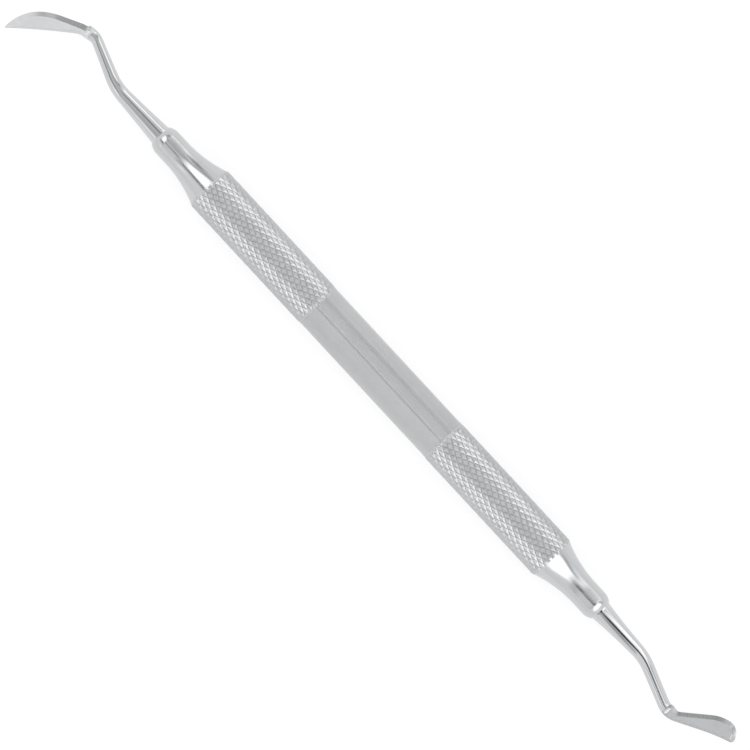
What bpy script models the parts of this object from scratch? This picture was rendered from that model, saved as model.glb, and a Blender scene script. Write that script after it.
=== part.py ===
"""Double-ended gingivectomy knife: a hollow knurled handle with a working end seated in each nose.

The handle lies along X on its two knurled bands. The bends of both working ends lie in one level plane
through the handle's axis, with the flats of the blades facing up and down. The origin is under the middle
of the whole knife, on the surface that it rests on.
"""

import math
from types import SimpleNamespace

import bmesh
import bpy
from mathutils import Vector

MM = 0.001

# Handle
HANDLE_LENGTH = 105.0 * MM        # nose to nose
PLAIN_DIAMETER = 8.0 * MM         # smooth middle of the grip
PLAIN_LENGTH = 31.0 * MM          # smooth middle, between the two knurled bands
TAPER_LENGTH = 8.1 * MM           # from the shoulder at the end of the knurl down to the collar
COLLAR_DIAMETER = 5.0 * MM
COLLAR_LENGTH = 2.2 * MM
NOSE_LENGTH = 1.6 * MM            # rounded end of the collar
LIP_WIDTH = 0.08 * MM             # flat ring left around the mouth of the socket
BORE_DIAMETER = 6.4 * MM          # hollow inside of the grip
BORE_LENGTH = 79.2 * MM
SOCKET_DEPTH = 8.0 * MM           # from the mouth to the cone that opens into the bore

# Diamond knurl
KNURL_DIAMETER = 8.18 * MM        # over the crests
KNURL_DEPTH = 0.25 * MM           # from the crests down to where two grooves cross
KNURL_STARTS = 25                 # diamonds side by side around the handle
KNURL_PITCH = 1.8 * MM            # length of one diamond along the handle
KNURL_LEAD = 0.35 * MM            # run-in from the smooth middle to the first crests

# Tangs and sockets
TANG_DIAMETER = 3.66 * MM
TANG_CHAMFER = 0.3 * MM
TANG_END_ROOM = 0.5 * MM          # from the end of the tang to the inner end of the socket
FIT_CLEARANCE = 0.05 * MM         # between tang and socket, all round

# Pointed working end
# Heights are measured from the axis of the blade, and places along it from the knee's corner.
POINTED_LEAN_AT = 10.6 * MM       # mouth to the corner of the first bend
POINTED_LEAN_ANGLE = 21.0         # degrees
POINTED_KNEE_AT = 10.02 * MM      # corner of the first bend to the corner of the knee
POINTED_KNEE_ANGLE = 62.9         # degrees
POINTED_KNEE_DIAMETER = 1.9 * MM
POINTED_TAPER_POWER = 1.6         # 1 is a plain cone, more slims the shank sooner
POINTED_REACH = 14.32 * MM        # to the tip
POINTED_CREST_AT = 8.3 * MM       # to the highest place of the back
POINTED_CREST_RADIUS = 11.5 * MM
POINTED_BACK_HEIGHT = 2.25 * MM   # of the back at its crest
POINTED_NECK_HEIGHT = 1.0 * MM    # of the back where the knee ends
POINTED_EDGE_HEIGHT = 0.68 * MM   # of the edge at its middle
POINTED_EDGE_AT = 7.2 * MM        # to the middle of the edge
POINTED_EDGE_RADIUS = 110.0 * MM  # slight hollow of the edge
POINTED_TIP_WIDTH = 0.2 * MM
POINTED_HEEL_THICKNESS = 1.0 * MM
POINTED_TOE_THICKNESS = 0.75 * MM
POINTED_FLATS_AT = 0.2 * MM       # middle of the knee to the start of the ground flats

# Rounded working end, measured in the same way
ROUNDED_LEAN_AT = 10.5 * MM
ROUNDED_LEAN_ANGLE = 20.1         # degrees
ROUNDED_KNEE_AT = 9.7 * MM
ROUNDED_KNEE_ANGLE = 48.8         # degrees
ROUNDED_KNEE_DIAMETER = 2.04 * MM
ROUNDED_TAPER_POWER = 2.7
ROUNDED_REACH = 11.76 * MM
ROUNDED_CREST_AT = 8.45 * MM
ROUNDED_CREST_RADIUS = 6.4 * MM
ROUNDED_TOE_RADIUS = 2.2 * MM
ROUNDED_CORNER_RADIUS = 0.7 * MM  # between the edge and the toe
ROUNDED_BACK_HEIGHT = 2.12 * MM
ROUNDED_NECK_HEIGHT = 0.7 * MM
ROUNDED_EDGE_HEIGHT = 0.94 * MM
ROUNDED_EDGE_AT = 6.2 * MM        # to where the straight edge starts to curve outwards
ROUNDED_EDGE_RADIUS = 32.0 * MM
ROUNDED_HEEL_THICKNESS = 0.72 * MM
ROUNDED_TOE_THICKNESS = 0.85 * MM
ROUNDED_FLATS_AT = -0.4 * MM

# Alike at both working ends
LEAN_RADIUS = 10.4 * MM           # of the first bend
KNEE_RADIUS = 3.4 * MM
KNEE_WEB = 0.33 * MM              # extra steel on the inside of the knee
KNEE_WEB_LENGTH = 1.2             # of the web along the rod, for a knee of 1
SHOULDER_LENGTH = 0.7 * MM        # from the round shank down to the full flats
BACK_BEVEL_ANGLE = 27.0           # degrees, from the flat down to the back and the toe
EDGE_BEVEL_ANGLE = 45.0           # degrees, from the flat down to the edge
EDGE_LAND = 0.06 * MM             # thickness left at the sharp edges

# Steps of the curved surfaces
TAPER_STEPS = 7
NOSE_STEPS = 4
SHANK_STEPS = 5
LEAN_STEPS = 6
KNEE_STEPS = 14
BLADE_STEPS = 7
TOE_STEPS = 8
HALF_RING_FACES = 12              # across the upper half of a working end

# Derived sizes
HALF_LENGTH = HANDLE_LENGTH / 2
NOSE_START = HALF_LENGTH - NOSE_LENGTH
COLLAR_START = NOSE_START - COLLAR_LENGTH
SHOULDER = COLLAR_START - TAPER_LENGTH
COLLAR_RADIUS = COLLAR_DIAMETER / 2
CREST_RADIUS = KNURL_DIAMETER / 2
GROOVE_RADIUS = CREST_RADIUS - KNURL_DEPTH
TANG_RADIUS = TANG_DIAMETER / 2
TANG_LENGTH = SOCKET_DEPTH - TANG_END_ROOM
SOCKET_RADIUS = TANG_RADIUS + FIT_CLEARANCE
KNURL_START = PLAIN_LENGTH / 2
KNURL_ROWS = round((SHOULDER - KNURL_START) / (KNURL_PITCH / 2))
ROW_STEP = (SHOULDER - KNURL_START) / KNURL_ROWS
COLUMNS = 2 * KNURL_STARTS
COLUMN_ANGLE = 2 * math.pi / COLUMNS

# Share of a narrow section that its bevels take, and the least that each takes
BEVEL_ROOM = 0.9
LEAST_BEVEL = 0.08

MERGE_DISTANCE = 0.001 * MM
RING_TOLERANCE = 0.02 * MM


def clear_scene():
    for item in list(bpy.data.objects):
        bpy.data.objects.remove(item)


def steel(name, color, roughness):
    material = bpy.data.materials.new(name)
    material.use_nodes = True
    shader = material.node_tree.nodes["Principled BSDF"]
    shader.inputs["Base Color"].default_value = (*color, 1)
    shader.inputs["Metallic"].default_value = 1.0
    shader.inputs["Roughness"].default_value = roughness
    return material


def arc_radius(run, rise):
    """Radius of the arc that starts along X and gets this far along X and away from it."""
    return (run**2 + rise**2) / (2 * rise)


def arc_height(centre_at, centre_height, radius, along):
    """Height of an arc over the point along, on the far side of its centre."""
    return centre_height + math.sqrt(max(0, radius**2 - (along - centre_at) ** 2))


def arc_points(start, end, steps):
    """Points of the arc that leaves start along X and ends in end, without start itself."""
    run = end[0] - start[0]
    rise = end[1] - start[1]
    radius = arc_radius(abs(run), abs(rise))
    sweep = math.asin(abs(run) / radius)
    points = []
    for step in range(1, steps + 1):
        angle = sweep * step / steps
        along = math.copysign(radius * math.sin(angle), run)
        away = math.copysign(radius * (1 - math.cos(angle)), rise)
        points.append((start[0] + along, start[1] + away))
    return points


def smooth_step(share):
    share = min(max(share, 0), 1)
    return share**2 * (3 - 2 * share)


def knurl_rings():
    """Distances from the middle to the rings of the knurl: run-in, rows of crests, run-out.

    The run-out is where the turned taper has come down to the floor of the grooves.
    """
    taper_radius = arc_radius(TAPER_LENGTH, CREST_RADIUS - COLLAR_RADIUS)
    left = taper_radius - (GROOVE_RADIUS - COLLAR_RADIUS)
    run_out = COLLAR_START - math.sqrt(taper_radius**2 - left**2)
    rows = [KNURL_START + row * ROW_STEP for row in range(KNURL_ROWS + 1)]
    return [KNURL_START - KNURL_LEAD, *rows, run_out]


def handle_profile():
    """Half of the handle's wall as (x, radius): along the outside to the mouth, and back inside."""
    rings = knurl_rings()
    collar = (COLLAR_START, COLLAR_RADIUS)
    nose = (NOSE_START, COLLAR_RADIUS)
    lip = (HALF_LENGTH, SOCKET_RADIUS + LIP_WIDTH)
    points = [(0, PLAIN_DIAMETER / 2), (rings[0], PLAIN_DIAMETER / 2)]
    points += [(x, CREST_RADIUS) for x in rings[1:-1]]
    points += reversed(arc_points(collar, (rings[-1], GROOVE_RADIUS), TAPER_STEPS))
    points += [collar, nose]
    points += arc_points(nose, lip, NOSE_STEPS)
    points.append((HALF_LENGTH, SOCKET_RADIUS))
    points.append((HALF_LENGTH - SOCKET_DEPTH, SOCKET_RADIUS))
    points.append((BORE_LENGTH / 2, BORE_DIAMETER / 2))
    points.append((0, BORE_DIAMETER / 2))
    return points


def turned_blank(points):
    """Mesh of half the handle before knurling, turned about X and open where the halves meet."""
    profile = bpy.data.meshes.new("handle_profile")
    edges = [(index, index + 1) for index in range(len(points) - 1)]
    profile.from_pydata([(x, 0, radius) for x, radius in points], edges, [])
    blank = bpy.data.objects.new("handle_blank", profile)
    bpy.context.scene.collection.objects.link(blank)
    turn = blank.modifiers.new("turn", "SCREW")
    turn.axis = "X"
    turn.steps = COLUMNS
    turn.render_steps = COLUMNS
    turn.use_normal_flip = True
    turn.use_merge_vertices = True
    turn.merge_threshold = MERGE_DISTANCE
    depsgraph = bpy.context.evaluated_depsgraph_get()
    mesh = bpy.data.meshes.new_from_object(blank.evaluated_get(depsgraph))
    bpy.data.objects.remove(blank)
    return mesh


def roll_knurl(mesh):
    """Sinks the points where two grooves cross, and creases the faces along the grooves between them."""
    rings = knurl_rings()
    shape = bmesh.new()
    shape.from_mesh(mesh)
    crossings = []
    for vert in shape.verts:
        radius = math.hypot(vert.co.y, vert.co.z)
        row = min(range(len(rings)), key=lambda index: abs(rings[index] - vert.co.x))
        on_ring = abs(rings[row] - vert.co.x) < RING_TOLERANCE
        if not on_ring or radius < GROOVE_RADIUS - RING_TOLERANCE:
            continue
        column = round(math.atan2(vert.co.y, vert.co.z) / COLUMN_ANGLE)
        if (row + column) % 2:
            continue
        crossings.append(vert)
        if 0 < row < len(rings) - 1:
            vert.co.y *= GROOVE_RADIUS / radius
            vert.co.z *= GROOVE_RADIUS / radius
    bmesh.ops.connect_verts(shape, verts=crossings)
    shape.to_mesh(mesh)
    shape.free()


def build_handle():
    """Turns and knurls one half, mirrors it, and rolls it so that it rests on two rows of crests."""
    mesh = turned_blank(handle_profile())
    roll_knurl(mesh)
    mesh.name = "handle"
    mesh.materials.append(steel("satin_steel", (0.60, 0.60, 0.59), 0.38))
    mesh.shade_smooth()
    mesh.set_sharp_from_angle(angle=math.radians(12))
    handle = bpy.data.objects.new("handle", mesh)
    mirror = handle.modifiers.new("other_half", "MIRROR")
    mirror.use_axis = (True, False, False)
    mirror.merge_threshold = MERGE_DISTANCE
    handle.rotation_euler.x = COLUMN_ANGLE / 2
    return handle


class Spine:
    """A bent line in the level plane, kept as stations with their distance from the mouth."""

    def __init__(self, start):
        self.place = Vector((start, 0))
        self.heading = 0.0
        self.distance = start
        self.stations = []
        self.mark()

    def mark(self):
        self.stations.append((self.place.copy(), self.heading, self.distance))

    def move(self, length, direction, distance):
        self.place = self.place + length * Vector((math.cos(direction), math.sin(direction)))
        self.distance += distance
        self.mark()

    def straight(self, length, steps=1):
        for _ in range(steps):
            self.move(length / steps, self.heading, length / steps)

    def bend(self, angle, radius, steps):
        """Follows an arc in short chords, to the left where angle is positive."""
        turn = angle / steps
        chord = 2 * radius * math.sin(abs(turn) / 2)
        for _ in range(steps):
            direction = self.heading + turn / 2
            self.heading += turn
            self.move(chord, direction, radius * abs(turn))


def knee_tangent(angle):
    """From the corner of the knee to either end of its bend."""
    return KNEE_RADIUS * math.tan(math.radians(angle) / 2)


def pointed_edge(along, inset=0):
    """Height of the slightly hollow edge, or of the line at inset inside it."""
    radius = POINTED_EDGE_RADIUS
    hollow = arc_height(POINTED_EDGE_AT, 0, radius + inset, along)
    return POINTED_EDGE_HEIGHT + radius - hollow


def flare_angle(neck, crest, radius):
    """Angle of the line that leaves the neck and touches the arc around the crest's centre."""
    away = crest - neck
    return math.atan2(away.y, away.x) + math.asin(radius / away.length)


def flared_height(along, inset, neck, crest, radius):
    """Height of a straight flare from the neck and of the arc that it runs into."""
    flare = flare_angle(neck, crest, radius)
    if along < crest.x - (radius - inset) * math.sin(flare):
        return neck.y + (along - neck.x) * math.tan(flare) - inset / math.cos(flare)
    return arc_height(crest.x, crest.y, radius - inset, along)


def pointed_back(along, inset=0):
    """Height of the back: a straight flare and an arc up to the crest, and a tighter arc to the tip."""
    if along < POINTED_CREST_AT:
        neck = Vector((knee_tangent(POINTED_KNEE_ANGLE), POINTED_NECK_HEIGHT))
        crest = Vector((POINTED_CREST_AT, POINTED_BACK_HEIGHT - POINTED_CREST_RADIUS))
        return flared_height(along, inset, neck, crest, POINTED_CREST_RADIUS)
    drop = POINTED_BACK_HEIGHT + pointed_edge(POINTED_REACH) - POINTED_TIP_WIDTH
    radius = arc_radius(POINTED_REACH - POINTED_CREST_AT, drop)
    return arc_height(POINTED_CREST_AT, POINTED_BACK_HEIGHT - radius, radius - inset, along)


def rounded_edge(along, inset=0):
    """Height of the edge: straight, then curving outwards, with a small round corner at the toe."""
    corner_at = ROUNDED_REACH - ROUNDED_CORNER_RADIUS
    if along > corner_at:
        corner_height = rounded_edge(corner_at) - ROUNDED_CORNER_RADIUS
        return arc_height(corner_at, corner_height, ROUNDED_CORNER_RADIUS - inset, along)
    radius = ROUNDED_EDGE_RADIUS
    curved = arc_height(ROUNDED_EDGE_AT, 0, radius + inset, max(along, ROUNDED_EDGE_AT))
    return ROUNDED_EDGE_HEIGHT + radius - curved


def rounded_back(along, inset=0):
    """Height of the back: a straight flare, a crest and a round toe, each tangent to the next."""
    crest = Vector((ROUNDED_CREST_AT, ROUNDED_BACK_HEIGHT - ROUNDED_CREST_RADIUS))
    neck = Vector((knee_tangent(ROUNDED_KNEE_ANGLE), ROUNDED_NECK_HEIGHT))
    centres_apart = ROUNDED_CREST_RADIUS - ROUNDED_TOE_RADIUS
    toe_at = ROUNDED_REACH - ROUNDED_TOE_RADIUS
    toe_start = crest.x + (ROUNDED_CREST_RADIUS - inset) * (toe_at - crest.x) / centres_apart
    if along < toe_start:
        return flared_height(along, inset, neck, crest, ROUNDED_CREST_RADIUS)
    toe_height = arc_height(crest.x, crest.y, centres_apart, toe_at)
    return arc_height(toe_at, toe_height, ROUNDED_TOE_RADIUS - inset, along)


POINTED = SimpleNamespace(
    name="pointed_working_end",
    lean_at=POINTED_LEAN_AT,
    lean_angle=POINTED_LEAN_ANGLE,
    knee_at=POINTED_KNEE_AT,
    knee_angle=POINTED_KNEE_ANGLE,
    knee_radius=POINTED_KNEE_DIAMETER / 2,
    taper_power=POINTED_TAPER_POWER,
    reach=POINTED_REACH,
    toe_at=POINTED_CREST_AT,
    back=pointed_back,
    edge=pointed_edge,
    back_side=-1,
    heel_thickness=POINTED_HEEL_THICKNESS,
    toe_thickness=POINTED_TOE_THICKNESS,
    flats_at=POINTED_FLATS_AT,
)

ROUNDED = SimpleNamespace(
    name="rounded_working_end",
    lean_at=ROUNDED_LEAN_AT,
    lean_angle=ROUNDED_LEAN_ANGLE,
    knee_at=ROUNDED_KNEE_AT,
    knee_angle=ROUNDED_KNEE_ANGLE,
    knee_radius=ROUNDED_KNEE_DIAMETER / 2,
    taper_power=ROUNDED_TAPER_POWER,
    reach=ROUNDED_REACH,
    toe_at=ROUNDED_REACH - ROUNDED_TOE_RADIUS,
    back=rounded_back,
    edge=rounded_edge,
    back_side=1,
    heel_thickness=ROUNDED_HEEL_THICKNESS,
    toe_thickness=ROUNDED_TOE_THICKNESS,
    flats_at=ROUNDED_FLATS_AT,
)


def trace_spine(end):
    """Runs from the tang's inner end through both bends to the tip, and notes where the knee lies."""
    lean = math.radians(end.lean_angle)
    knee = math.radians(end.knee_angle)
    lean_tangent = LEAN_RADIUS * math.tan(lean / 2)
    neck_at = knee_tangent(end.knee_angle)
    spine = Spine(-TANG_LENGTH)
    spine.straight(TANG_CHAMFER)
    spine.straight(TANG_LENGTH - TANG_CHAMFER)
    spine.straight(end.lean_at - lean_tangent, SHANK_STEPS)
    spine.bend(-lean, LEAN_RADIUS, LEAN_STEPS)
    spine.straight(end.knee_at - lean_tangent - neck_at, SHANK_STEPS)
    end.knee_start = spine.distance
    spine.bend(knee, KNEE_RADIUS, KNEE_STEPS)
    end.knee_end = spine.distance
    end.neck_at = neck_at
    spine.straight(end.toe_at - neck_at, BLADE_STEPS)
    toe_run = end.reach - end.toe_at
    for step in range(TOE_STEPS):
        before = math.sin(math.pi / 2 * step / TOE_STEPS)
        after = math.sin(math.pi / 2 * (step + 1) / TOE_STEPS)
        spine.straight(toe_run * (after - before))
    return spine.stations


def place_on_blade(end, distance):
    """Distance along the blade from the knee's corner, which also runs on evenly through the knee."""
    if distance > end.knee_end:
        return end.neck_at + distance - end.knee_end
    share = (distance - end.knee_start) / (end.knee_end - end.knee_start)
    return end.neck_at * (2 * share - 1)


def heights(end, distance):
    """How far the back and the edge lie from the spine at this distance from the mouth."""
    if distance < end.knee_start:
        slim = (1 - max(distance, 0) / end.knee_start) ** end.taper_power
        radius = end.knee_radius + (TANG_RADIUS - end.knee_radius) * slim
        if distance <= -TANG_LENGTH:
            radius -= TANG_CHAMFER
        return radius, radius
    along = place_on_blade(end, distance)
    share = (distance - end.knee_start) / (end.knee_end - end.knee_start)
    web = KNEE_WEB * math.sin(math.pi * min(share / KNEE_WEB_LENGTH, 1)) ** 2
    blend = smooth_step(share)
    back = end.knee_radius + (end.back(max(along, end.neck_at)) - end.knee_radius) * blend
    edge = end.knee_radius + (end.edge(max(along, end.neck_at)) - end.knee_radius) * blend
    if end.back_side > 0:
        return back + web, edge
    return back, edge + web


def round_section(back, edge):
    """Upper half of a round section, from the back over the top to the edge."""
    middle = (back - edge) / 2
    radius = (back + edge) / 2
    angles = [math.pi * index / HALF_RING_FACES for index in range(HALF_RING_FACES + 1)]
    return [(middle + radius * math.cos(angle), radius * math.sin(angle)) for angle in angles]


def blade_section(end, along, back, edge):
    """Upper half of a blade section: a flat between two bevels that run down to thin lands."""
    land = EDGE_LAND / 2
    back_slope = math.tan(math.radians(BACK_BEVEL_ANGLE))
    edge_slope = math.tan(math.radians(EDGE_BEVEL_ANGLE))
    share = along / end.reach
    flat = (end.heel_thickness * (1 - share) + end.toe_thickness * share) / 2
    on_blade = max(along, end.neck_at)
    steepness = (end.back(on_blade - RING_TOLERANCE) - end.back(on_blade)) / RING_TOLERANCE
    stretch = math.hypot(1, steepness)
    room = BEVEL_ROOM * (back + edge) / (stretch / back_slope + 1 / edge_slope)
    rise = max(0, min(flat - land, (end.reach - along) * back_slope, room))
    back_inset = end.back(on_blade) - end.back(on_blade, rise / back_slope)
    edge_inset = end.edge(on_blade) - end.edge(on_blade, rise / edge_slope)
    least = LEAST_BEVEL * (back + edge)
    flat_start = back - max(back_inset, least)
    flat_end = -edge + max(edge_inset, least)
    faces = HALF_RING_FACES - 4
    across = [flat_start + (flat_end - flat_start) * index / faces for index in range(faces + 1)]
    top = [(height, land + rise) for height in across]
    return [(back, 0), (back, land), *top, (-edge, land), (-edge, 0)]


def half_ring(end, station):
    """Upper half of the working end's section at a station, as points from left to right."""
    place, heading, distance = station
    back, edge = heights(end, distance)
    section = round_section(back, edge)
    flats_start = (end.knee_start + end.knee_end) / 2 + end.flats_at
    ground = smooth_step((distance - flats_start) / SHOULDER_LENGTH)
    if ground > 0:
        blade = blade_section(end, place_on_blade(end, distance), back, edge)
        section = [Vector(one).lerp(Vector(other), ground) for one, other in zip(section, blade)]
    left = Vector((-math.sin(heading), math.cos(heading))) * end.back_side
    points = []
    for height, level in section:
        across = place + left * height
        points.append(Vector((across.x, across.y, level)))
    return points if end.back_side > 0 else points[::-1]


def build_working_end(end, color, roughness):
    """Lofts the upper half through its rings, closes both ends, and mirrors it in the level plane."""
    shape = bmesh.new()
    rings = [[shape.verts.new(point) for point in half_ring(end, station)] for station in trace_spine(end)]
    for before, after in zip(rings, rings[1:]):
        for index in range(HALF_RING_FACES):
            shape.faces.new((before[index], before[index + 1], after[index + 1], after[index]))
    shape.faces.new(rings[0][::-1])
    shape.faces.new(rings[-1])
    mesh = bpy.data.meshes.new(end.name)
    shape.to_mesh(mesh)
    shape.free()
    mesh.materials.append(steel(end.name + "_steel", color, roughness))
    mesh.shade_smooth()
    mesh.set_sharp_from_angle(angle=math.radians(18))
    working_end = bpy.data.objects.new(end.name, mesh)
    mirror = working_end.modifiers.new("lower_half", "MIRROR")
    mirror.use_axis = (False, False, True)
    mirror.merge_threshold = MERGE_DISTANCE
    return working_end


def box_corners(pieces):
    """Lowest and highest corner of the evaluated pieces."""
    depsgraph = bpy.context.evaluated_depsgraph_get()
    points = []
    for piece in pieces:
        mesh = piece.evaluated_get(depsgraph).to_mesh()
        points += [piece.matrix_world @ vert.co for vert in mesh.vertices]
    low = Vector(min(point[axis] for point in points) for axis in range(3))
    high = Vector(max(point[axis] for point in points) for axis in range(3))
    return low, high


def build_knife():
    knife = bpy.data.collections.new("gingivectomy_knife")
    bpy.context.scene.collection.children.link(knife)
    handle = build_handle()
    pointed = build_working_end(POINTED, (0.70, 0.70, 0.69), 0.22)
    rounded = build_working_end(ROUNDED, (0.66, 0.66, 0.66), 0.18)
    pointed.location.x = -HALF_LENGTH
    pointed.rotation_euler.z = math.pi
    rounded.location.x = HALF_LENGTH
    placing = bpy.data.objects.new("placing", None)
    knife.objects.link(placing)
    for piece in (handle, pointed, rounded):
        knife.objects.link(piece)
        piece.parent = placing
    bpy.context.view_layer.update()
    low, high = box_corners((handle, pointed, rounded))
    placing.location = (-(low.x + high.x) / 2, -(low.y + high.y) / 2, -low.z)


clear_scene()
build_knife()
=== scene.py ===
# %% [markdown]
# # A double-ended gingivectomy knife, in polished and satin steel
#
# The knife trims gum tissue. It is three pieces of stainless steel: one hollow, knurled handle, and a bent
# rod with a ground blade at each end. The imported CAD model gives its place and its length, and most sizes
# below repeat the CAD model's. Others are this lesson's own: the knurl's shallower grooves and flat crests,
# the hollow that the grinding wheel leaves at the blades' necks, and sockets that end sooner inside. The
# lesson makes the surfaces that a maker would leave on the knife. Steel shows little of its own colour, so
# half of the work is in what it has to reflect.

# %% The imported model
import math
from types import SimpleNamespace

import bpy
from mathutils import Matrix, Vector


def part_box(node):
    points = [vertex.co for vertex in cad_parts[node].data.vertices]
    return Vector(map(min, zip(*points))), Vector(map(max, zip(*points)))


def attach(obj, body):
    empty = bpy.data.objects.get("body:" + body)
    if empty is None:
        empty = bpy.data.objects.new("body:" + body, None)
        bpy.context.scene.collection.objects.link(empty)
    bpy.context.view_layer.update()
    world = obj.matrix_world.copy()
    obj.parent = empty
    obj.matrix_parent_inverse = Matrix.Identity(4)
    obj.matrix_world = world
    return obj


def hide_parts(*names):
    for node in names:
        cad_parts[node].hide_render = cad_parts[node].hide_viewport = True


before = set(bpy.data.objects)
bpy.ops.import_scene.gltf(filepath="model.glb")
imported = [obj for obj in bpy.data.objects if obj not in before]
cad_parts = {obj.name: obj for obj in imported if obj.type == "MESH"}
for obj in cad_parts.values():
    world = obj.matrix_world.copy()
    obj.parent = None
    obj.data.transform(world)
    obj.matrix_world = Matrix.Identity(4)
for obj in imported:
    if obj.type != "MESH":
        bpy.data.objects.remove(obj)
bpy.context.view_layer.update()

# %% [markdown]
# ## Where the knife lies
#
# The knife is about 165 mm long, so this lesson counts in millimetres and turns them into Blender's metres
# only when a mesh is made. The handle's box gives the axis of the whole knife, and everything else is
# placed from that axis.

# %% Axis of the handle
MM = 0.001

handle_low, handle_high = (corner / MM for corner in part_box("handle"))
AXIS_MIDDLE = (handle_low + handle_high) / 2
HALF_HANDLE = (handle_high.x - handle_low.x) / 2
print("middle of the handle:", [round(value, 3) for value in AXIS_MIDDLE])
print("half of its length:", round(HALF_HANDLE, 3))


def on_axis(x, y, z):
    """A point given from the middle of the handle, in millimetres, as a place in the scene in metres."""
    return (Vector((x, y, z)) + AXIS_MIDDLE) * MM


# %% [markdown]
# ## The camera
#
# The photograph looks straight down on the knife, which lies slanted across the frame. A long lens from
# nearly a metre away keeps both ends free of perspective. A camera looks along its own -Z, so it only has
# to be turned about Z by the slant of the handle.

# %% Camera
HANDLE_SLANT = math.radians(47.18)
VIEW_WIDTH = 121.7
VIEW_CENTRE = (-0.35, -0.873)
CAMERA_HEIGHT = 950.0
SENSOR_WIDTH = 36.0

camera = bpy.data.objects.new("camera", bpy.data.cameras.new("camera"))
bpy.context.scene.collection.objects.link(camera)
camera.data.sensor_width = SENSOR_WIDTH
camera.data.lens = SENSOR_WIDTH * CAMERA_HEIGHT / VIEW_WIDTH
camera.location = on_axis(*VIEW_CENTRE, CAMERA_HEIGHT)
camera.rotation_euler.z = HANDLE_SLANT
camera.data.clip_end = 20
bpy.context.scene.camera = camera
print("lens in mm:", round(camera.data.lens, 1))

# %% [markdown]
# ## A short way to write node graphs
#
# Materials and the studio's light are graphs of nodes. Each is a small formula, so this helper adds a node,
# sets its inputs and links what comes in, and a formula then reads from left to right like any other code.


# %% Node helper
class Graph:
    """Adds nodes to one tree. An input is either a plain value or the output of another node."""

    def __init__(self, owner):
        owner.use_nodes = True
        self.tree = owner.node_tree

    def add(self, kind, inputs=(), **settings):
        node = self.tree.nodes.new("ShaderNode" + kind)
        for name, value in settings.items():
            setattr(node, name, value)
        for key, value in dict(inputs).items():
            self.put(node.inputs[key], value)
        return node

    def put(self, socket, value):
        if isinstance(value, bpy.types.NodeSocket):
            self.tree.links.new(value, socket)
        else:
            socket.default_value = value

    def math(self, operation, *values):
        return self.add("Math", enumerate(values), operation=operation).outputs[0]

    def fade(self, value, start, end, low=0.0, high=1.0):
        """Goes smoothly from low to high as the value goes from start to end."""
        inputs = {"Value": value, "From Min": start, "From Max": end, "To Min": low, "To Max": high}
        return self.add("MapRange", inputs, interpolation_type="SMOOTHSTEP").outputs["Result"]

    def band(self, value, low, high, soft):
        """1 between low and high, fading to 0 over the soft width on both sides."""
        rising = self.fade(value, low - soft / 2, low + soft / 2)
        falling = self.fade(value, high + soft / 2, high - soft / 2)
        return self.math("MULTIPLY", rising, falling)

    def blend(self, share, first, second):
        """Number that goes from first to second with the share."""
        mix = self.add("Mix", data_type="FLOAT")
        for index, value in enumerate((share, first, second)):
            self.put(mix.inputs[(0, 2, 3)[index]], value)
        return mix.outputs[0]

    def noise(self, vector, scale, detail=2.0, roughness=0.5):
        inputs = {"Vector": vector, "Scale": scale, "Detail": detail, "Roughness": roughness}
        return self.add("TexNoise", inputs).outputs["Fac"]

    def stretched(self, vector, scale):
        inputs = {"Vector": vector, "Scale": scale}
        return self.add("Mapping", inputs).outputs["Vector"]


# %% [markdown]
# ## The studio
#
# Polished steel is a mirror, so its look is the look of the room. A maker's catalogue shot is taken in a
# white tent. The camera's opening in the roof is a dark spot, seen as the thin dark line along each rod.
# Lamps behind the cloth are the white wedges on the tapers and the white lines on the rods, and darker cloth
# beside them gives each wedge its edge. A strap and a seam over the knife are two faint lines on the grip.
#
# The tent could be built from sheets of mesh and area lights. Here the world's shader paints it, which
# lights the knife from all sides and leaves little noise. That shader knows only the direction of a ray, so
# each part of the tent is a soft-edged patch. Along and across are its angles from straight up, in degrees.
#
# The patches were placed by comparing this render with the photograph, so they are a fit to one view and
# not the plan of a real studio. The camera itself always sees plain white instead of the tent.

# %% Parts of the tent
TENT_LEVEL = 1.0
HORIZON_LEVEL = 0.94
ROOF_FADE = (60, 95)


def patch(along, across, soft, level, widen=(0.0, 0.0)):
    """A sheet of the tent. Its lower and upper bounds across can widen with the distance from the middle."""
    return SimpleNamespace(along=along, across=across, soft=soft, level=level, widen=widen)


TENT_PATCHES = {
    "cloth beside the camera": patch((-7, 6), (2, 46), 9, 0.60),
    "strap beside the camera": patch((-9, 4), (-14, -5), 5, 0.08),
    "near cloth on the right": patch((10, 18.5), (-60, -8), 4, 0.50),
    "near cloth on the left": patch((-18, -8), (-46, 2), 5, 0.66),
    "far cloth on the left": patch((-16, -8), (4, 30), 5, 0.38),
    "far lamp on the right": patch((9.5, 18.5), (22, 66), 4, 1.75),
    "far lamp on the left": patch((-25, -11.5), (48, 76), 4, 1.75),
    "end of the far lamp": patch((19, 40), (53, 63), 4, 1.30),
    "near lamp": patch((-27, -18), (-60, -44), 3, 1.55),
    "dark side of the left lamp": patch((-52, -14), (-31, -10), 5, 0.20),
    "far side of the left lamp": patch((-52, -14), (-10, 12), 5, 0.40, (0, 0.80)),
    "left lamp": patch((-48, -15), (-16, 2), 5, 2.00, (0, 0.74)),
    "far side of the right lamp": patch((18, 56), (0, 26), 5, 0.52, (0, 0.75)),
    "right lamp": patch((22, 50), (4, 9), 8, 2.30, (-1.12, 0.80)),
    "seam over the grip": patch((-2, 2), (41, 60), 3, 0.06),
}
ROOF_SEAM = SimpleNamespace(low=44, high=62, soft=6, start=104, end=127, turn_soft=10, level=0.33)
OPENING = SimpleNamespace(along=10.6, across=-3, half_length=6.6, half_width=12, soft=0.10, level=0.03)


# %% [markdown]
# The patches are laid over each other like sheets, the later ones on top. The seam of the roof is a piece
# of a ring round the highest point, and the opening is an oval.

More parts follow.
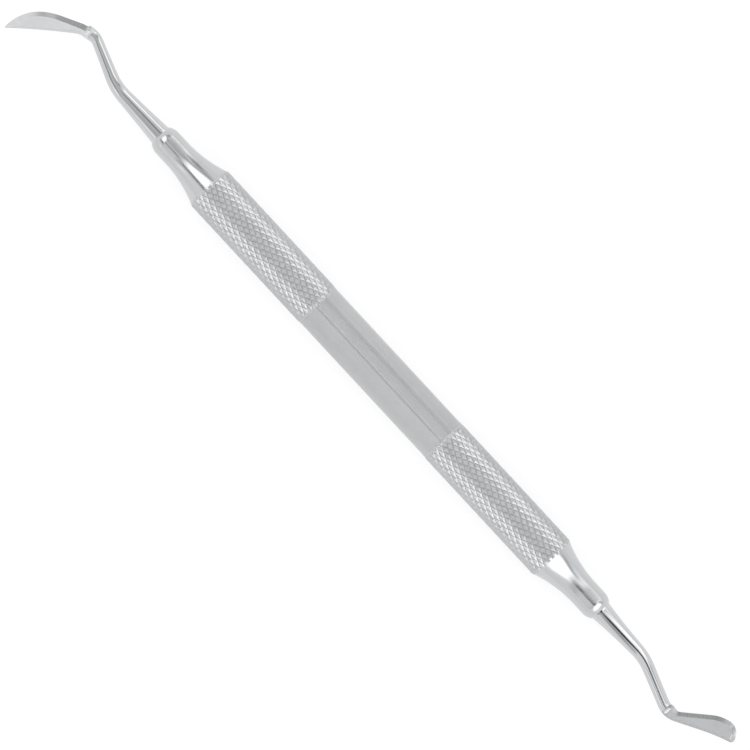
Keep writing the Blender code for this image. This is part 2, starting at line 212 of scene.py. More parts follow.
# %% Tent shader
def tent_light(graph):
    """Brightness of the tent in the direction of a ray."""
    direction = graph.add("TexCoord").outputs["Generated"]
    parts = graph.add("SeparateXYZ", {0: direction}).outputs
    degrees = 180 / math.pi
    along = graph.math("MULTIPLY", graph.math("ARCTAN2", parts["X"], parts["Z"]), degrees)
    across = graph.math("MULTIPLY", graph.math("ARCTAN2", parts["Y"], parts["Z"]), degrees)
    from_top = graph.math("MULTIPLY", graph.math("ARCCOSINE", parts["Z"]), degrees)
    turn = graph.math("MULTIPLY", graph.math("ARCTAN2", parts["Y"], parts["X"]), degrees)

    level = graph.fade(from_top, *ROOF_FADE, TENT_LEVEL, HORIZON_LEVEL)
    off_middle = graph.math("ABSOLUTE", along)
    for sheet in TENT_PATCHES.values():
        low, high = sheet.across
        from_low = graph.math("SUBTRACT", across, graph.math("MULTIPLY", off_middle, sheet.widen[0]))
        from_high = graph.math("SUBTRACT", across, graph.math("MULTIPLY", off_middle, sheet.widen[1]))
        rising = graph.fade(from_low, low - sheet.soft / 2, low + sheet.soft / 2)
        falling = graph.fade(from_high, high + sheet.soft / 2, high - sheet.soft / 2)
        share = graph.math("MULTIPLY", rising, falling)
        share = graph.math("MULTIPLY", share, graph.band(along, *sheet.along, sheet.soft))
        level = graph.blend(share, level, sheet.level)

    seam = graph.math(
        "MULTIPLY",
        graph.band(from_top, ROOF_SEAM.low, ROOF_SEAM.high, ROOF_SEAM.soft),
        graph.band(turn, ROOF_SEAM.start, ROOF_SEAM.end, ROOF_SEAM.turn_soft),
    )
    level = graph.blend(seam, level, ROOF_SEAM.level)

    x = graph.math("DIVIDE", graph.math("SUBTRACT", along, OPENING.along), OPENING.half_length)
    y = graph.math("DIVIDE", graph.math("SUBTRACT", across, OPENING.across), OPENING.half_width)
    squares = graph.math("ADD", graph.math("MULTIPLY", x, x), graph.math("MULTIPLY", y, y))
    opening = graph.fade(graph.math("SQRT", squares), 1 + OPENING.soft / 2, 1 - OPENING.soft / 2)
    return graph.blend(opening, level, OPENING.level)


tent = bpy.data.worlds.new("white_tent")
bpy.context.scene.world = tent
tent_graph = Graph(tent)
tent_graph.tree.nodes.clear()
seen_by_camera = tent_graph.add("LightPath").outputs["Is Camera Ray"]
tent_strength = tent_graph.blend(seen_by_camera, tent_light(tent_graph), 1.0)
tent_cloth = tent_graph.add("Background", {"Color": (1, 1, 1, 1), "Strength": tent_strength})
tent_graph.add("OutputWorld", {"Surface": tent_cloth.outputs[0]})
print("tent nodes:", len(tent_graph.tree.nodes))

# %% [markdown]
# ## The floor
#
# The photograph's ground is pure white. A brighter light on a white floor would also wash out the steel. So
# the floor is a matt white sheet that glows where the camera or a reflection sees it, which lifts it to
# white without putting more light on the knife. It keeps a part of the soft shadow that the knife casts.

# %% Floor
FLOOR_SIZE = 6.0
FLOOR_COLOR = (0.93, 0.93, 0.93, 1)
GLOW_SHARE = 0.74
GLOW_STRENGTH = 1.06

bpy.ops.mesh.primitive_plane_add(size=FLOOR_SIZE)
floor = bpy.context.object
floor.name = "floor"
sheet = bpy.data.materials.new("matt_white_sheet")
sheet_graph = Graph(sheet)
sheet_graph.tree.nodes.clear()
rays = sheet_graph.add("LightPath").outputs
seen = sheet_graph.math("MAXIMUM", rays["Is Camera Ray"], rays["Is Glossy Ray"])
seen = sheet_graph.math("MAXIMUM", seen, rays["Is Transmission Ray"])
paper = sheet_graph.add("BsdfDiffuse", {"Color": FLOOR_COLOR}).outputs[0]
glow = sheet_graph.add("Emission", {"Color": (1, 1, 1, 1), "Strength": GLOW_STRENGTH}).outputs[0]
glow_share = sheet_graph.math("MULTIPLY", seen, GLOW_SHARE)
floor_mix = sheet_graph.add("MixShader", {0: glow_share, 1: paper, 2: glow}).outputs[0]
sheet_graph.add("OutputMaterial", {"Surface": floor_mix})
floor.data.materials.append(sheet)
print("floor side in m:", FLOOR_SIZE)

# %% [markdown]
# ## Turned satin steel
#
# The handle is turned on a lathe, and the tool leaves fine rings round it. They spread a reflection along
# the handle more than across it, and Blender calls that anisotropy. The rings are noise squeezed along X,
# and they also vary the tone, the roughness and the height of the surface a little.
#
# The grip looks matt, and yet a faint sharp reflection of the tent runs along it, as if the tops of its
# rings were burnished. One roughness can't show both. So the grip has a rough base for its even grey, and
# Blender's coat over that stands in for the burnished skin. Bare steel has no coat, so this is a trick of
# the render. The tapers are polished and need none.

# %% Steel helper
def steel_material(name, color, roughness, place, marks, bump, anisotropic=0.0, wear=0.06):
    """Principled steel whose tone, roughness and height vary with noise stretched by the marks.

    place names the coordinates, in millimetres: the scene's own, or the straightened ones that a bent rod
    carries. The fine marks make up more of the tone than the soft clouds do, and wear is how far it varies.
    """
    material = bpy.data.materials.new(name)
    graph = Graph(material)
    shader = graph.tree.nodes["Principled BSDF"]
    if place == "scene":
        position = graph.add("TexCoord").outputs["Object"]
        position = graph.stretched(position, (1 / MM,) * 3)
    else:
        position = graph.add("Attribute", attribute_name=place).outputs["Vector"]
    fine = graph.noise(graph.stretched(position, marks), 1.0, 4.0, 0.6)
    cloudy = graph.noise(position, 0.35, 2.0)
    tone = graph.math("ADD", graph.math("MULTIPLY", fine, 0.6), graph.math("MULTIPLY", cloudy, 0.4))
    shade = graph.fade(tone, 0.25, 0.75, 1 - wear, 1 + wear)
    tint = graph.add("VectorMath", {0: color, 1: (1, 1, 1)}, operation="MULTIPLY")
    graph.put(tint.inputs[1], graph.add("CombineXYZ", {0: shade, 1: shade, 2: shade}).outputs[0])
    graph.put(shader.inputs["Base Color"], tint.outputs[0])
    graph.put(shader.inputs["Roughness"], graph.fade(fine, 0.3, 0.7, roughness * 0.85, roughness * 1.15))
    shader.inputs["Metallic"].default_value = 1.0
    if anisotropic:
        shader.inputs["Anisotropic"].default_value = anisotropic
        shader.inputs["Anisotropic Rotation"].default_value = 0.25
        ring = graph.add("Tangent", direction_type="RADIAL", axis="X").outputs[0]
        graph.put(shader.inputs["Tangent"], ring)
    relief = graph.add("Bump", {"Height": fine, "Strength": 1.0, "Distance": bump * MM})
    graph.put(shader.inputs["Normal"], relief.outputs[0])
    material["tint"] = tint.name
    return material


# %% Handle finishes
satin_steel = steel_material(
    "turned_satin_steel", (0.468, 0.477, 0.485), 0.55, "scene", (9.0, 0.5, 0.5), 0.0003, anisotropic=0.1
)
burnish = satin_steel.node_tree.nodes["Principled BSDF"].inputs
burnish["Coat Weight"].default_value = 0.8
burnish["Coat Roughness"].default_value = 0.12
burnish["Coat IOR"].default_value = 2.4
taper_steel = steel_material(
    "turned_polished_steel", (0.574, 0.585, 0.593), 0.21, "scene", (12.0, 0.5, 0.5), 0.0001,
    anisotropic=0.3, wear=0.03,
)
print("handle finishes:", satin_steel.name, taper_steel.name)

# %% [markdown]
# ## Knurled steel
#
# A wheel presses the diamonds into the handle. Their sides catch every lamp, and the grooves between them
# look a little darker. Most of that difference comes from the mesh itself, which shades its own grooves.
# The handle's mesh also carries how deep each point lies, and the finish is painted slightly darker where
# that depth grows: painted shade in the grooves.

# %% Knurl finish
# Painted shade in the grooves: where they are deepest, the tone is this share of the crests' tone.
GROOVE_SHADE_TONE = 0.94
FULL_SHADE_DEPTH = 0.4

knurl_steel = steel_material("knurled_steel", (0.567, 0.577, 0.584), 0.40, "scene", (3.0, 3.0, 3.0), 0.0008)


def paint_groove_shade(material):
    """Paints shade into the grooves: multiplies the tone by a share that falls with the depth stored on the
    mesh.
    """
    graph = Graph(material)
    depth = graph.add("Attribute", attribute_name="groove_depth").outputs["Fac"]
    share = graph.fade(depth, 0.0, FULL_SHADE_DEPTH, 1.0, GROOVE_SHADE_TONE)
    shader = graph.tree.nodes["Principled BSDF"]
    tint = graph.tree.nodes[material["tint"]].outputs[0]
    # Painted shade: the tint is scaled down where the groove is deep.
    shaded_tint = graph.add("VectorMath", {0: tint}, operation="SCALE")
    graph.put(shaded_tint.inputs["Scale"], share)
    graph.put(shader.inputs["Base Color"], shaded_tint.outputs[0])


paint_groove_shade(knurl_steel)
print("knurl finish:", knurl_steel.name)

# %% [markdown]
# ## The handle
#
# A lathe part is a profile turned about an axis, and a Screw modifier would do it. The knurl is the hard
# part: 25 diamonds stand side by side round the handle. An image could only paint them, so each is cut
# into the mesh here, from two families of grooves that wind round the handle in opposite directions. The
# mesh is a grid of rings whose step divides a diamond evenly, so the grooves run exactly through its points.
#
# FLANK says how much of the way from the bottom of a groove to the middle of a diamond is slope. The rest is
# the small flat crest that a real knurl has. The grooves start softly, over the length of KNURL_LEAD. The
# CAD model's grooves are 0.25 mm deep. The depth here was set by how dark they look beside the photograph.

# %% Handle sizes
PLAIN_RADIUS = 4.0
PLAIN_HALF = 15.5
CREST_RADIUS = 4.09
KNURL_DEPTH = 0.19
KNURL_STARTS = 25
KNURL_ROWS = 28
KNURL_LEAD = 0.70
FLANK = 0.6
SPLITS = 5
COLLAR_RADIUS = 2.5
TAPER_LENGTH = 8.1
COLLAR_LENGTH = 2.2
NOSE_LENGTH = 1.6
MOUTH_RADIUS = 1.96
SOCKET_RADIUS = 1.88
SOCKET_DEPTH = 3.0
LIP_CHAMFER = 0.03

NOSE_START = HALF_HANDLE - NOSE_LENGTH
COLLAR_START = NOSE_START - COLLAR_LENGTH
SHOULDER = COLLAR_START - TAPER_LENGTH
ROW_STEP = (SHOULDER - PLAIN_HALF) / KNURL_ROWS
COLUMN_ANGLE = math.pi / KNURL_STARTS
COLUMNS = 2 * KNURL_STARTS * SPLITS
print("knurl pitch:", round(2 * ROW_STEP, 3), "columns:", COLUMNS)


# %% Groove formula
def arc_radius(run, rise):
    """Radius of the arc that starts level and gets this far along and this far away."""
    return (run**2 + rise**2) / (2 * rise)


def taper_at(x):
    """Radius of the hollow taper between the knurl and the collar."""
    radius = arc_radius(TAPER_LENGTH, CREST_RADIUS - COLLAR_RADIUS)
    before = max(0.0, COLLAR_START - x)
    if before > radius:
        return math.inf
    return COLLAR_RADIUS + radius - math.sqrt(radius**2 - before**2)


def groove_depth(row, column):
    """0 on a crest and 1 at the bottom of a groove.

    Grooves cross where row and column add up to an even number.
    """
    nearest = min(abs((place + 1) % 2 - 1) for place in (row + column, row - column))
    return 1 - min(nearest / FLANK, 1)


# %% [markdown]
# ### Rings of the handle
#
# Half of the handle is listed as rings from the middle outwards, and the other half repeats them. A plain
# ring needs only its radius. On a knurled ring every point gets its own radius, never above the taper that
# the lathe cuts afterwards, and that cut leaves the zigzag where the diamonds run out.

# %% Handle rings
MIDDLE_STEPS = 3
TAPER_STEPS = 24
ZIGZAG_ROWS = 1.2


def plain_rings():
    """Distance from the middle and radius, for the rings that aren't knurled."""
    lead_start = PLAIN_HALF - KNURL_LEAD
    middle = [(lead_start * step / MIDDLE_STEPS, PLAIN_RADIUS) for step in range(MIDDLE_STEPS + 1)]
    start = SHOULDER + ZIGZAG_ROWS * ROW_STEP
    taper = [start + (COLLAR_START - start) * step / TAPER_STEPS for step in range(TAPER_STEPS + 1)]
    taper = [(x, taper_at(x)) for x in taper]
    return middle, taper + [(NOSE_START, COLLAR_RADIUS)]


def nose_rings(steps=10):
    """The rounded end of the collar, the lip and the first of the socket inside it."""
    radius = arc_radius(NOSE_LENGTH, COLLAR_RADIUS - MOUTH_RADIUS)
    sweep = math.asin(NOSE_LENGTH / radius)
    rings = []
    for step in range(1, steps + 1):
        angle = sweep * step / steps
        x = NOSE_START + radius * math.sin(angle)
        rings.append((x, COLLAR_RADIUS - radius * (1 - math.cos(angle))))
    rings.append((HALF_HANDLE, SOCKET_RADIUS + LIP_CHAMFER))
    rings.append((HALF_HANDLE - LIP_CHAMFER, SOCKET_RADIUS))
    rings.append((HALF_HANDLE - SOCKET_DEPTH, SOCKET_RADIUS))
    return rings


def knurled_radius(x, column):
    """Radius of a knurled point and its depth in the groove, or -1 where the taper has cut it away."""
    row = (x - PLAIN_HALF) / ROW_STEP
    depth = groove_depth(row, column)
    radius = CREST_RADIUS - KNURL_DEPTH * depth
    lead = min(max((x - PLAIN_HALF + KNURL_LEAD) / KNURL_LEAD, 0), 1)
    radius = PLAIN_RADIUS + (radius - PLAIN_RADIUS) * lead
    cut = taper_at(x)
    return (cut, -1.0) if cut < radius else (radius, depth * lead)


def handle_rings():
    """Rings of the whole handle: distance from the middle, points' radii and depths, kind of surface."""
    middle, outer = plain_rings()
    step = ROW_STEP / SPLITS
    first = -round(KNURL_LEAD / step)
    last = round((outer[0][0] - PLAIN_HALF) / step)
    half = [(x, [radius] * COLUMNS, None, "plain") for x, radius in middle]
    for index in range(first, last):
        x = PLAIN_HALF + index * step
        points = [knurled_radius(x, column / SPLITS) for column in range(COLUMNS)]
        half.append((x, [point[0] for point in points], [point[1] for point in points], "knurl"))
    half += [(x, [radius] * COLUMNS, None, "taper") for x, radius in outer + nose_rings()]
    mirrored = [(-x, radii, depths, kind) for x, radii, depths, kind in reversed(half[1:])]
    return mirrored + half


rings = handle_rings()
print("rings of the handle:", len(rings), "points:", len(rings) * COLUMNS)


# %% [markdown]
# ### Skinning the rings
#
# Between two rings, four neighbouring points make a face. On the knurl each is split into two triangles,
# along the direction of the nearer groove, so no triangle bridges a groove. Smooth shading would round the
# diamonds off, so edges where faces meet at more than a small angle are marked as sharp.

# %% Handle mesh
HANDLE_SHARP_ANGLE = 14
PLAIN, KNURLED, TAPER = range(3)


def mesh_object(name, points, faces, kinds, materials, sharp_angle):
    """A smooth-shaded mesh in the scene, with creases where faces meet at more than the angle."""
    mesh = bpy.data.meshes.new(name)
    mesh.from_pydata(points, [], faces)
    for material in materials:
        mesh.materials.append(material)
    mesh.polygons.foreach_set("material_index", kinds)
    mesh.validate()
    mesh.shade_smooth()
    mesh.set_sharp_from_angle(angle=math.radians(sharp_angle))
    piece = bpy.data.objects.new(name, mesh)
    bpy.context.scene.collection.objects.link(piece)
    return piece


def ring_points(x, radii):
    """Places of one ring's points, rolled so that the handle rests on two rows of crests."""
    points = []
    for column, radius in enumerate(radii):
        angle = (column / SPLITS + 0.5) * COLUMN_ANGLE
        points.append(on_axis(x, radius * math.sin(angle), radius * math.cos(angle)))
    return points


def split_along_groove(x, column):
    """True where the nearer groove climbs with the columns as x grows."""
    row = (abs(x) - PLAIN_HALF) / ROW_STEP
    rising = abs((row - column + 1) % 2 - 1)
    falling = abs((row + column + 1) % 2 - 1)
    return (rising < falling) == (x > 0)


def handle_kind(ring, columns):
    """Finish of the face between a ring and the next."""
    pair = (rings[ring], rings[ring + 1])
    if "knurl" in (pair[0][3], pair[1][3]):
        cut = all(depths is None or depths[column] < 0 for _, _, depths, _ in pair for column in columns)
        return TAPER if cut and abs(pair[0][0]) > SHOULDER - ROW_STEP else KNURLED
    return PLAIN if "plain" in (pair[0][3], pair[1][3]) else TAPER


def handle_faces():
    """Corners and finish of every face of the handle, with one cap inside each socket."""
    faces, kinds = [], []
    for ring in range(len(rings) - 1):
        knurled = "knurl" in (rings[ring][3], rings[ring + 1][3])
        x = (rings[ring][0] + rings[ring + 1][0]) / 2
        for column in range(COLUMNS):
            after = (column + 1) % COLUMNS
            here, right = ring * COLUMNS + column, ring * COLUMNS + after
            there, across = here + COLUMNS, right + COLUMNS
            kind = handle_kind(ring, (column, after))
            if not knurled:
                faces.append((here, there, across, right))
                kinds.append(kind)
            elif split_along_groove(x, (column + 0.5) / SPLITS):
                faces += [(here, there, across), (here, across, right)]
                kinds += [kind, kind]
            else:
                faces += [(here, there, right), (there, across, right)]
                kinds += [kind, kind]
    total = len(rings) * COLUMNS
    faces += [tuple(range(COLUMNS)), tuple(range(total - COLUMNS, total))[::-1]]
    return faces, kinds + [TAPER, TAPER]


handle_points = [point for x, radii, _, _ in rings for point in ring_points(x, radii)]
faces, kinds = handle_faces()
handle_finishes = (satin_steel, knurl_steel, taper_steel)
grip = mesh_object("knurled_handle", handle_points, faces, kinds, handle_finishes, HANDLE_SHARP_ANGLE)
depth_layer = grip.data.attributes.new("groove_depth", "FLOAT", "POINT")
depths = [max(value, 0.0) for ring in rings for value in (ring[2] or [0.0] * COLUMNS)]
depth_layer.data.foreach_set("value", depths)
print("handle faces:", len(faces))

# %% [markdown]
# ## The bent rods and their blades
#
# Each working end starts as one round rod. It is drawn down, bent twice, flattened at its end and ground. A
# curve with a bevel could make the rod, but not the blade. So the whole end is a loft: a bent line gives the
# stations, and at each station a section is worked out the way the real one is made. The rod's oval comes
# first, and then each grinding cut takes off what lies above it.
#
# KNEE_WEB is the extra steel on the inside of the knee, and LAND is half the thickness that grinding leaves
# at the sharp edges. A narrow section has no room for full bevels, so BEVEL_ROOM is the share of it that both
# bevels may take, and LEAST_BEVEL is the share that each keeps. notch_at is where the wheel has cut into the
# back of the pointed blade at its neck.

# %% Sizes of the working ends
TANG_RADIUS = 1.83
LEAN_RADIUS = 10.4
KNEE_RADIUS = 3.4
KNEE_WEB = 0.33
KNEE_WEB_LENGTH = 1.2
LAND = 0.03
BACK_BEVEL = math.tan(math.radians(27))
EDGE_BEVEL = math.tan(math.radians(45))
WHEEL_RADIUS = 0.9
BEVEL_ROOM = 0.9
LEAST_BEVEL = 0.08

POINTED = SimpleNamespace(
    lean_at=10.6, lean=21.0, knee_at=10.02, knee=62.9, rod=0.95, slimming=1.6, reach=14.32, crest_at=8.3,
    back_height=2.25, neck_height=1.0, edge_height=0.68, edge_at=7.2, edge_radius=110.0, crest_radius=11.5,
    tip_width=0.2, heel=0.5, toe=0.375, flats_at=0.2, notch_at=1.25, back_side=-1,
)
ROUNDED = SimpleNamespace(
    lean_at=10.5, lean=20.1, knee_at=9.7, knee=48.8, rod=1.02, slimming=2.7, reach=11.76, crest_at=8.45,
    back_height=2.12, neck_height=0.7, edge_height=0.94, edge_at=6.2, edge_radius=32.0, crest_radius=6.4,
    toe_radius=2.2, corner_radius=0.7, heel=0.36, toe=0.425, flats_at=-0.4, notch_at=None, back_side=1,
)
for end in (POINTED, ROUNDED):
    end.neck_at = KNEE_RADIUS * math.tan(math.radians(end.knee) / 2)
print("necks at:", round(POINTED.neck_at, 2), round(ROUNDED.neck_at, 2))


# %% [markdown]
# ### Outlines of the blades
#
# An outline is a height above or below the blade's own axis, as a formula of the place along it. Round
# stretches are arcs. The same formulas take an inset, which moves an outline inwards by the width of the
# bevel and so gives the line where the bevel meets the flat.

# %% Outline formulas
def arc_height(centre_at, centre_height, radius, along):
    """Height of an arc over the point along, on the far side of its centre."""
    return centre_height + math.sqrt(max(0, radius**2 - (along - centre_at) ** 2))


def flared_height(end, along, inset):
    """Height of a straight flare that leaves the neck, and of the crest's arc that it runs into."""
    crest = Vector((end.crest_at, end.back_height - end.crest_radius))
    neck = Vector((end.neck_at, end.neck_height))
    away = crest - neck
    flare = math.atan2(away.y, away.x) + math.asin(end.crest_radius / away.length)
    if along < crest.x - (end.crest_radius - inset) * math.sin(flare):
        return neck.y + (along - neck.x) * math.tan(flare) - inset / math.cos(flare)
    return arc_height(crest.x, crest.y, end.crest_radius - inset, along)


def pointed_edge(along, inset=0):
    """Height of the slightly hollow edge."""
    end = POINTED
    return end.edge_height + end.edge_radius - arc_height(end.edge_at, 0, end.edge_radius + inset, along)


def pointed_back(along, inset=0):
    """Height of the back: a flare and an arc up to the crest, and a tighter arc down to the tip."""
    end = POINTED
    if along < end.crest_at:
        return flared_height(end, along, inset)
    drop = end.back_height + pointed_edge(end.reach) - end.tip_width
    radius = arc_radius(end.reach - end.crest_at, drop)
    return arc_height(end.crest_at, end.back_height - radius, radius - inset, along)


def rounded_edge(along, inset=0):
    """Height of the edge: straight, then curving outwards, with a small round corner at the toe."""
    end = ROUNDED
    corner_at = end.reach - end.corner_radius
    if along > corner_at:
        corner_height = rounded_edge(corner_at) - end.corner_radius
        return arc_height(corner_at, corner_height, end.corner_radius - inset, along)
    curved = arc_height(end.edge_at, 0, end.edge_radius + inset, max(along, end.edge_at))
    return end.edge_height + end.edge_radius - curved


def rounded_back(along, inset=0):
    """Height of the back: a flare, the arc of the crest and the arc of the toe."""
    end = ROUNDED
    centres_apart = end.crest_radius - end.toe_radius
    toe_at = end.reach - end.toe_radius
    share = (toe_at - end.crest_at) / centres_apart
    if along < end.crest_at + (end.crest_radius - inset) * share:
        return flared_height(end, along, inset)
    toe_height = arc_height(end.crest_at, end.back_height - end.crest_radius, centres_apart, toe_at)
    return arc_height(toe_at, toe_height, end.toe_radius - inset, along)


POINTED.back, POINTED.edge = pointed_back, pointed_edge
ROUNDED.back, ROUNDED.edge = rounded_back, rounded_edge
crest_height = pointed_back(POINTED.crest_at) + pointed_edge(POINTED.crest_at)
print("pointed blade's height at its crest:", round(crest_height, 2))


# %% [markdown]
# ### The bent line
#
# The line starts inside the socket, runs out along the handle's axis, leans away at the first bend and
# turns back sharply at the knee. Each station keeps its place, its heading and its distance from the mouth.

# %% Bent line
IN_SOCKET = 2.2
SHANK_STEPS = 24
KNEE_STEPS = 56
BLADE_STEPS = 56
TOE_STEPS = 44
TOE_SHARE = 0.18


def bent_line(end):
    """Stations of a working end. The toe's stations get closer together towards its tip."""
    lean, knee = math.radians(end.lean), math.radians(end.knee)
    lean_tangent = LEAN_RADIUS * math.tan(lean / 2)
    blade = end.reach - end.neck_at
    moves = [
        (IN_SOCKET, 0.0, 2),
        (end.lean_at - lean_tangent, 0.0, SHANK_STEPS),
        (LEAN_RADIUS * lean, -lean, SHANK_STEPS),
        (end.knee_at - lean_tangent - end.neck_at, 0.0, SHANK_STEPS),
        (KNEE_RADIUS * knee, knee, KNEE_STEPS),
        ((1 - TOE_SHARE) * blade, 0.0, BLADE_STEPS),
    ]
    place, heading, distance = Vector((HALF_HANDLE - IN_SOCKET, 0)), 0.0, -IN_SOCKET
    stations = [(place.copy(), heading, distance)]

    def step(length, turn):
        nonlocal place, heading, distance
        chord = length * math.sin(abs(turn) / 2) / (abs(turn) / 2) if turn else length
        direction = heading + turn / 2
        place = place + chord * Vector((math.cos(direction), math.sin(direction)))
        heading += turn
        distance += length
        stations.append((place.copy(), heading, distance))

    for length, turn, steps in moves:
        for _ in range(steps):
            step(length / steps, turn / steps)
    end.knee_end = moves[1][0] + moves[2][0] + moves[3][0] + moves[4][0]
    end.knee_start = end.knee_end - moves[4][0]
    end.knee_middle = (end.knee_start + end.knee_end) / 2
    for index in range(TOE_STEPS):
        before, after = (math.sin(math.pi / 2 * (index + k) / TOE_STEPS) for k in (0, 1))
        step(TOE_SHARE * blade * (after - before), 0.0)
    return stations


POINTED.line, ROUNDED.line = bent_line(POINTED), bent_line(ROUNDED)
print("stations:", len(POINTED.line), len(ROUNDED.line))


# %% [markdown]
# ### Sections
#
# At each station the rod is an oval between its back and its edge. The grinding wheel comes down on it and
# leaves a flat, and the wheel's own radius leaves the short hollow shoulder at the start of that flat. The
# bevels are two more cuts, one along each side. The height of the steel is whatever is lowest there.

# %% Section formulas
ROD, FLAT, BEVEL = range(3)
FULL_FLAT_AFTER = 0.45
SLOPE_STEP = 0.02
TIE = 1e-6


def smooth_step(share):
    """Goes from 0 to 1 with the share, level at both ends."""
    share = min(max(share, 0), 1)
    return share**2 * (3 - 2 * share)


def place_on_blade(end, distance):
    """Distance along the blade from the knee's corner, which also runs on evenly through the knee."""
    if distance > end.knee_end:
        return end.neck_at + distance - end.knee_end
    return end.neck_at * (2 * (distance - end.knee_start) / (end.knee_end - end.knee_start) - 1)


def half_widths(end, distance):
    """How far the back and the edge lie from the line."""
    if distance < end.knee_start:
        slim = (1 - max(distance, 0) / end.knee_start) ** end.slimming
        radius = end.rod + (TANG_RADIUS - end.rod) * slim
        return radius, radius
    along = place_on_blade(end, distance)
    share = (distance - end.knee_start) / (end.knee_end - end.knee_start)
    web = KNEE_WEB * math.sin(math.pi * min(share / KNEE_WEB_LENGTH, 1)) ** 2
    blend = smooth_step(share)
    back = end.rod + (end.back(max(along, end.neck_at)) - end.rod) * blend
    edge = end.rod + (end.edge(max(along, end.neck_at)) - end.rod) * blend
    if end.notch_at:
        back = min(back, end.back(max(along, end.notch_at)) + wheel_rise(end.notch_at - along))
    return (back + web, edge) if end.back_side > 0 else (back, edge + web)


def wheel_rise(before):
    """How far the wheel's rim has risen at this distance before the full cut."""
    if before <= 0:
        return 0.0
    if before >= WHEEL_RADIUS:
        return math.inf
    return WHEEL_RADIUS - math.sqrt(WHEEL_RADIUS**2 - before**2)


def ground_blade(end, along, back, edge):
    """Level of the flat and the insets of its two boundary lines, at a place on the blade."""
    share = along / end.reach
    flat = end.heel * (1 - share) + end.toe * share
    on_blade = max(along, end.neck_at)
    steepness = (end.back(on_blade - SLOPE_STEP) - end.back(on_blade)) / SLOPE_STEP
    room = BEVEL_ROOM * (back + edge) / (math.hypot(1, steepness) / BACK_BEVEL + 1 / EDGE_BEVEL)
    full = min(flat - LAND, room)
    rise = max(0, min(full, (end.reach - along) * BACK_BEVEL))
    least = LEAST_BEVEL * (back + edge)
    back_inset = max(end.back(on_blade) - end.back(on_blade, rise / BACK_BEVEL), least)
    edge_inset = max(end.edge(on_blade) - end.edge(on_blade, rise / EDGE_BEVEL), least)
    return rise, back_inset, edge_inset, rise < full


def surface(end, distance, height, back, edge, cuts):
    """Height of the upper surface over a point of the section, and which of the three finishes it has."""
    rise, back_inset, edge_inset, on_toe = cuts
    middle, half = (back - edge) / 2, (back + edge) / 2
    thick = max(end.rod, half) if distance < end.knee_start else end.rod
    oval = thick * math.sqrt(max(0, 1 - ((height - middle) / half) ** 2))
    shoulder = wheel_rise(end.knee_middle + end.flats_at + FULL_FLAT_AFTER - distance)
    flat = LAND + rise + shoulder
    back_cut = LAND + rise * (back - height) / back_inset + shoulder
    edge_cut = LAND + rise * (edge + height) / edge_inset + shoulder
    bevel = min(back_cut, edge_cut)
    lowest = min(oval, flat, bevel)
    if lowest == oval:
        return lowest, ROD
    on_flat = flat <= bevel + TIE and not on_toe
    return lowest, FLAT if on_flat else BEVEL


# %% [markdown]
# ### Lofting
#
# The points of a section bunch up where its corners are: a few across each bevel and more across the flat.
# On the round rod they spread evenly by angle instead, and the spacing changes smoothly from one to the
# other. Only the upper half is worked out, and the lower half is its mirror image.

# %% Loft
BEVEL_FACES = 5
FLAT_FACES = 22
HALF_FACES = 2 + 2 * BEVEL_FACES + FLAT_FACES
SPACING_CHANGE = (-0.5, 0.5)


def across_section(end, distance, back, edge, cuts):
    """Places of the section's points from the back to the edge."""
    _, back_inset, edge_inset, _ = cuts
    middle, half = (back - edge) / 2, (back + edge) / 2
    angles = [math.pi * index / HALF_FACES for index in range(HALF_FACES + 1)]
    round_places = [middle + half * math.cos(angle) for angle in angles]
    start, stop = back - back_inset, edge_inset - edge
    blade_places = [back]
    blade_places += [back + (start - back) * index / BEVEL_FACES for index in range(BEVEL_FACES)]
    blade_places += [start + (stop - start) * index / FLAT_FACES for index in range(FLAT_FACES)]
    blade_places += [stop + (-edge - stop) * index / BEVEL_FACES for index in range(BEVEL_FACES + 1)]
    blade_places.append(-edge)
    begin, full = (end.knee_middle + end.flats_at + change for change in SPACING_CHANGE)
    share = smooth_step((distance - begin) / (full - begin))
    places = [one + (other - one) * share for one, other in zip(round_places, blade_places)]
    return places, share


def loft(end, side):
    """Points, faces, kinds and straightened coordinates of a working end.

    side is -1 at the handle's left and 1 at its right.
    """
    points, straight, rows = [], [], []
    for place, heading, distance in end.line:
        back, edge = half_widths(end, distance)
        cuts = ground_blade(end, max(place_on_blade(end, distance), 0), back, edge)
        places, share = across_section(end, distance, back, edge, cuts)
        upper = []
        for index, height in enumerate(places):
            level, kind = surface(end, distance, height, back, edge, cuts)
            if index in (0, HALF_FACES):
                level = 0.0
            else:
                level = max(level, LAND * share)
            upper.append((height, level, kind))
        ring = upper + [(height, -level, kind) for height, level, kind in upper[-2:0:-1]]
        left = Vector((-math.sin(heading), math.cos(heading))) * end.back_side
        for height, level, _ in ring:
            flat_place = place + left * height
            points.append(on_axis(side * flat_place.x, side * flat_place.y, level))
            straight.append((distance, height, level))
        rows.append([kind for _, _, kind in ring])
    count = 2 * HALF_FACES
    faces, kinds = [], []
    for row in range(len(rows) - 1):
        for index in range(count):
            after = (index + 1) % count
            here, beside = row * count + index, row * count + after
            corners = (here, beside, beside + count, here + count)
            faces.append(corners if end.back_side > 0 else corners[::-1])
            around = {rows[row][index], rows[row][after], rows[row + 1][index], rows[row + 1][after]}
            kinds.append(BEVEL if BEVEL in around else min(around))
    first = tuple(range(count))
    last = tuple(range(len(points) - count, len(points)))
    faces += [first[::-1], last] if end.back_side > 0 else [first, last[::-1]]
    kinds += [ROD, BEVEL]
    return points, faces, kinds, straight
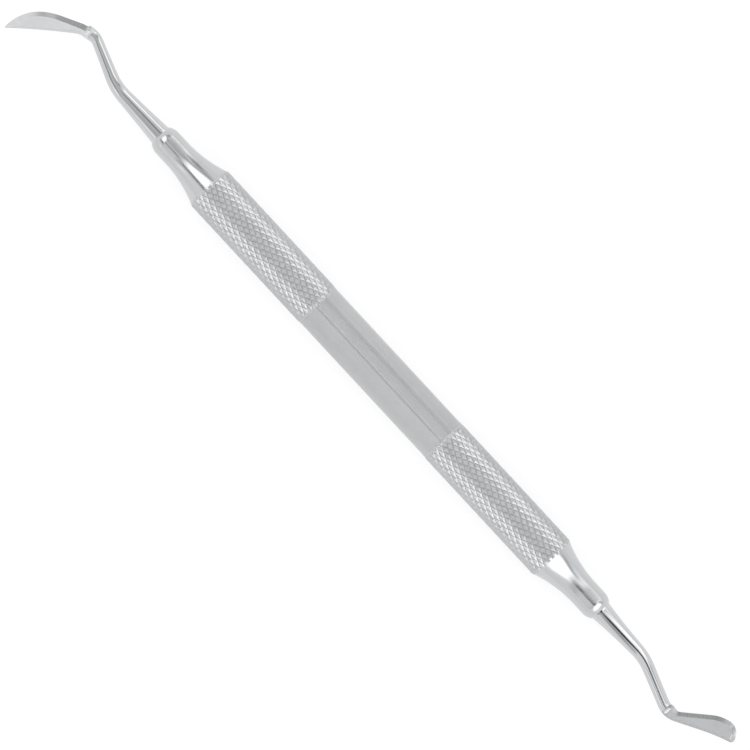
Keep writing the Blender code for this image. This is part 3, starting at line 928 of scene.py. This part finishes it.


# %% [markdown]
# ## Finishes of the working ends
#
# The rods are polished almost to a mirror, with faint lines along them from the polishing belt. The flats
# come off a fine stone and stay satin. The bevels are ground across, towards the edge, and are the
# brightest where they catch a lamp and the darkest where they don't.
#
# The real blades are most likely finished alike. One looks brighter in the photograph, probably because it
# faces the lamps another way. The tent here doesn't reproduce that, so the blades are lit and shaded copies
# of one finish: the pointed blade's flat and bevel are painted lighter, as painted light, and the rounded
# blade's are painted darker, as painted shade.

# %% Working end finishes
rod_steel = steel_material(
    "polished_rod_steel", (0.60, 0.61, 0.618), 0.10, "straight", (0.6, 9.0, 9.0), 0.0001, wear=0.03
)
# Painted light: the pointed blade's flat is a lighter copy of the rounded blade's stoned steel.
pointed_flat_painted_lit = steel_material(
    "stoned_steel_painted_lit", (0.708, 0.721, 0.729), 0.42, "straight", (1.2, 16.0, 2.0), 0.0006, wear=0.04
)
# Painted shade: the rounded blade's flat is the darker copy of the same stoned steel.
rounded_flat_painted_shaded = steel_material(
    "stoned_steel_painted_shaded", (0.574, 0.585, 0.593), 0.42, "straight", (1.2, 16.0, 2.0), 0.0006, wear=0.04
)
# Painted light: the pointed blade's bevel is a lighter copy of the ground steel.
pointed_bevel_painted_lit = steel_material(
    "ground_steel_painted_lit", (0.66, 0.671, 0.679), 0.20, "straight", (26.0, 1.0, 1.0), 0.0003, wear=0.04
)
# Painted shade: the rounded blade's bevel is the darker copy of the same ground steel.
rounded_bevel_painted_shaded = steel_material(
    "ground_steel_painted_shaded", (0.47, 0.479, 0.485), 0.28, "straight", (26.0, 1.0, 1.0), 0.0001, wear=0.03
)
print("bevel finishes:", pointed_bevel_painted_lit.name, rounded_bevel_painted_shaded.name)


# %% [markdown]
# ### Making both ends
#
# One function makes either end from its sizes. It also stores each point's place on the straight rod,
# before the bends, so that the polishing and grinding marks follow the steel round its bends.

# %% Both working ends
END_SHARP_ANGLE = 16


def make_working_end(name, end, side, flat_steel, bevel_steel):
    """Mesh of one working end with its three finishes and its straightened coordinates."""
    points, faces, kinds, straight = loft(end, side)
    piece = mesh_object(name, points, faces, kinds, (rod_steel, flat_steel, bevel_steel), END_SHARP_ANGLE)
    layer = piece.data.attributes.new("straight", "FLOAT_VECTOR", "POINT")
    layer.data.foreach_set("vector", [value for place in straight for value in place])
    print(name, "faces:", len(faces))
    return piece


pointed_end = make_working_end("pointed_rod_and_blade", POINTED, -1, pointed_flat_painted_lit, pointed_bevel_painted_lit)
rounded_end = make_working_end("rounded_rod_and_blade", ROUNDED, 1, rounded_flat_painted_shaded, rounded_bevel_painted_shaded)

# %% [markdown]
# ## Joining the pieces to the model
#
# Every piece moves with the one rigid body of the model, and each stands for the CAD solid of the same
# shape, which stays in the simulation as the collision body.

# %% Pieces and body
PIECES = (
    (grip, "handle", "satin_steel"),
    (pointed_end, "pointed_working_end", "polished_steel"),
    (rounded_end, "rounded_working_end", "polished_steel"),
)
for piece, node, slot in PIECES:
    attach(piece, "root")
    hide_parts(node)
print("pieces:", [piece.name for piece, _, _ in PIECES])

# %% [markdown]
# ## Colours
#
# The standard view transform shows a colour as it is written.

# %% Last settings
bpy.context.scene.view_settings.view_transform = "Standard"
